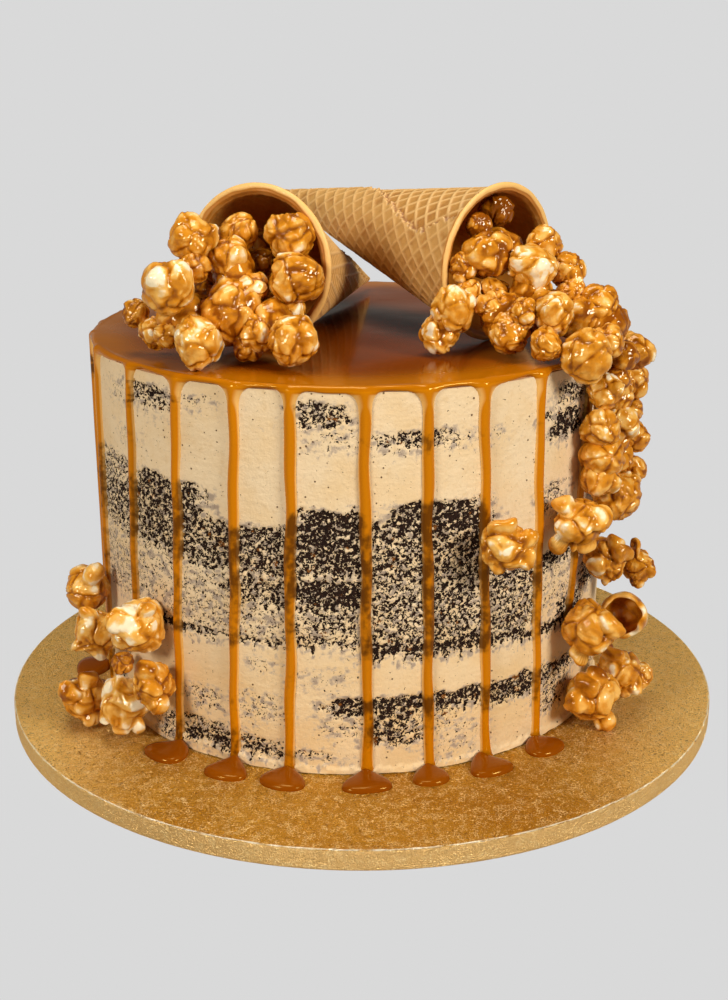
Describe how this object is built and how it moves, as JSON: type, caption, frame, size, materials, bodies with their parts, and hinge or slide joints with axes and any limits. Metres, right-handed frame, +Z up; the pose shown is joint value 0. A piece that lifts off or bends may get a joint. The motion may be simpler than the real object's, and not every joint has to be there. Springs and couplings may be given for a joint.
{
  "type": "caramel drip cake",
  "caption": "Tall round layer cake on a gold board, thinly coated, with caramel drips, two waffle cones lying on top and caramel popcorn spilling from them down the side.",
  "frame": {"origin": "centre of the board's underside", "axes": "+Z up; -Y is the front, where both cone mouths open; +X is the front view's right, where the popcorn runs down the side"},
  "size_m": [0.28, 0.28, 0.2072],
  "materials": {
    "gold_foil": "embossed gold foil over card, satin with fine creases",
    "sponge": "open dark chocolate crumb, matte",
    "buttercream": "scraped buttercream, soft satin",
    "caramel": "poured caramel, glossy and slightly translucent",
    "wafer": "baked rolled wafer, matte with a diamond relief",
    "popcorn": "popcorn coated in glossy caramel, pale where the coat is thin"
  },
  "bodies": {
    "root": {"buttercream_top": "buttercream", "cake_board": "gold_foil", "caramel_icing": "caramel", "cone_left": "wafer", "cone_right": "wafer", "filling_lower": "buttercream", "filling_middle": "buttercream", "filling_upper": "buttercream", "popcorn_front": "popcorn", "popcorn_heap_left": "popcorn", "popcorn_heap_right": "popcorn", "popcorn_left_1": "popcorn", "popcorn_left_2": "popcorn", "popcorn_left_3": "popcorn", "popcorn_left_4": "popcorn", "popcorn_left_5": "popcorn", "popcorn_left_6": "popcorn", "popcorn_left_7": "popcorn", "popcorn_side_1": "popcorn", "popcorn_side_2": "popcorn", "popcorn_side_3": "popcorn", "popcorn_side_4": "popcorn", "popcorn_side_5": "popcorn", "popcorn_side_6": "popcorn", "popcorn_side_7": "popcorn", "popcorn_side_8": "popcorn", "sponge_bottom": "sponge", "sponge_middle_lower": "sponge", "sponge_middle_upper": "sponge", "sponge_top": "sponge"}
  },
  "joints": []
}
